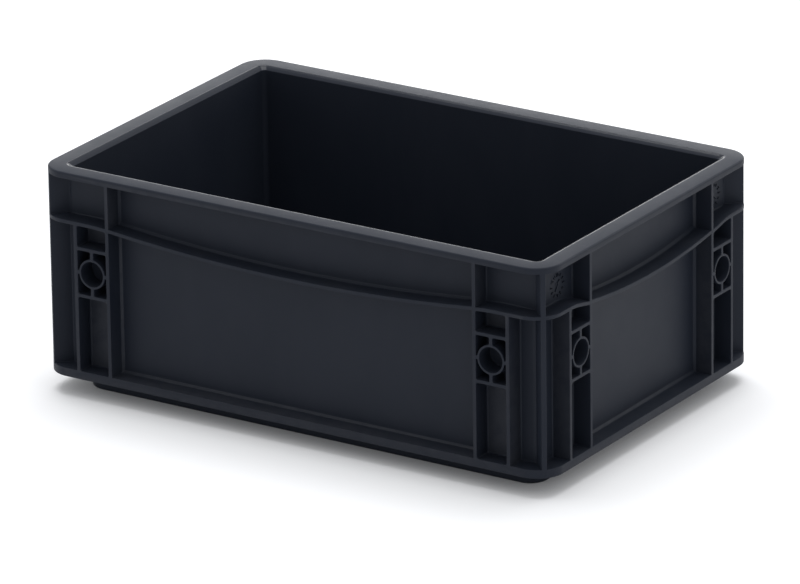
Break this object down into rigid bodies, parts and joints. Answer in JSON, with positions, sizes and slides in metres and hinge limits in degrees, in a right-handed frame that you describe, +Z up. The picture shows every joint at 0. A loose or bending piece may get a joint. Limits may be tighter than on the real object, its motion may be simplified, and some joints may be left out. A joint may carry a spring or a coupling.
{
  "type": "stacking tote box",
  "caption": "Open stacking tote box in one moulded piece, with a flat rim, ribbed outside walls, a swept rib, tube bosses and a recessed stacking foot.",
  "frame": {"origin": "middle of the foot's underside, on the floor", "axes": "+X along the long side, +Y along the short side, +Z up through the open top"},
  "size_m": [0.3, 0.2, 0.12],
  "materials": {
    "tote_body": "satin moulded, black conductive plastic"
  },
  "bodies": {
    "root": {"tote_body": "tote_body"}
  },
  "joints": []
}
